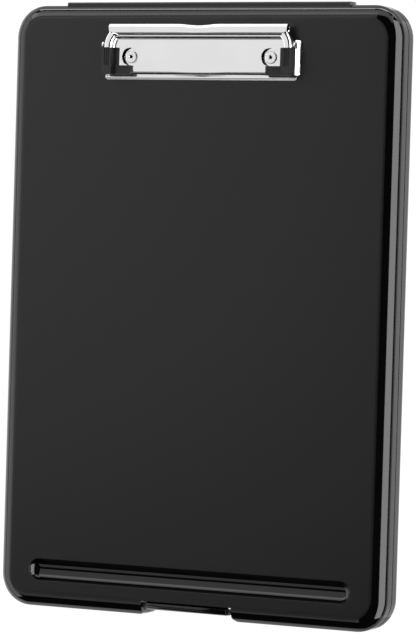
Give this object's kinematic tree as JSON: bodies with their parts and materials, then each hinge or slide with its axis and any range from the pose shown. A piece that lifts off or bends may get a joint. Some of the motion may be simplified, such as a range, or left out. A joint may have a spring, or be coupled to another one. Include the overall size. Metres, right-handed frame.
{
  "type": "storage clipboard box",
  "caption": "Shallow lidded case that is written on like a clipboard, with a sprung steel paper clip, a pen groove and a snap latch.",
  "frame": {"origin": "middle of the flat back of the tray", "axes": "+X across the case, +Y along it towards the hinge and clip, +Z out of the writing face"},
  "size_m": [0.24, 0.342, 0.0296],
  "materials": {
    "case": "black polypropylene, satin to gloss on the sides",
    "lid": "black polypropylene, fine matte grain on the writing face and glossier round its edges",
    "plated": "bright nickel plated sheet steel",
    "steel": "plain drawn steel",
    "grip": "black moulded rubber with fine ribs"
  },
  "bodies": {
    "tray": {"base_tray": "case", "hinge_rod": "steel"},
    "lid": {"lid_cover": "lid", "latch_pin": "case", "clip_base_plate": "plated", "clip_pivot_left": "steel", "clip_pivot_right": "steel", "clip_spring_left": "steel", "clip_spring_right": "steel", "rivet_left": "plated", "rivet_right": "plated", "rivet_washer_left": "steel", "rivet_washer_right": "steel"},
    "jaw": {"clip_jaw": "plated", "corner_grip_left": "grip", "corner_grip_right": "grip"},
    "latch": {"latch": "case"}
  },
  "joints": [
    {"name": "lid_hinge", "type": "hinge", "parent": "tray", "child": "lid", "pos_m": [0, 0.1703, 0.011], "axis": [-1, 0, 0], "range_deg": [0, 120]},
    {"name": "jaw_pivot", "type": "hinge", "parent": "lid", "child": "jaw", "pos_m": [0, 0.1475, 0.0258], "axis": [-1, 0, 0], "range_deg": [0, 12], "stiffness_Nm_per_rad": 1.2, "springref_deg": -14.32},
    {"name": "latch_pivot", "type": "hinge", "parent": "lid", "child": "latch", "pos_m": [0, -0.16445, 0.0192], "axis": [-1, 0, 0], "range_deg": [0, 75]}
  ]
}
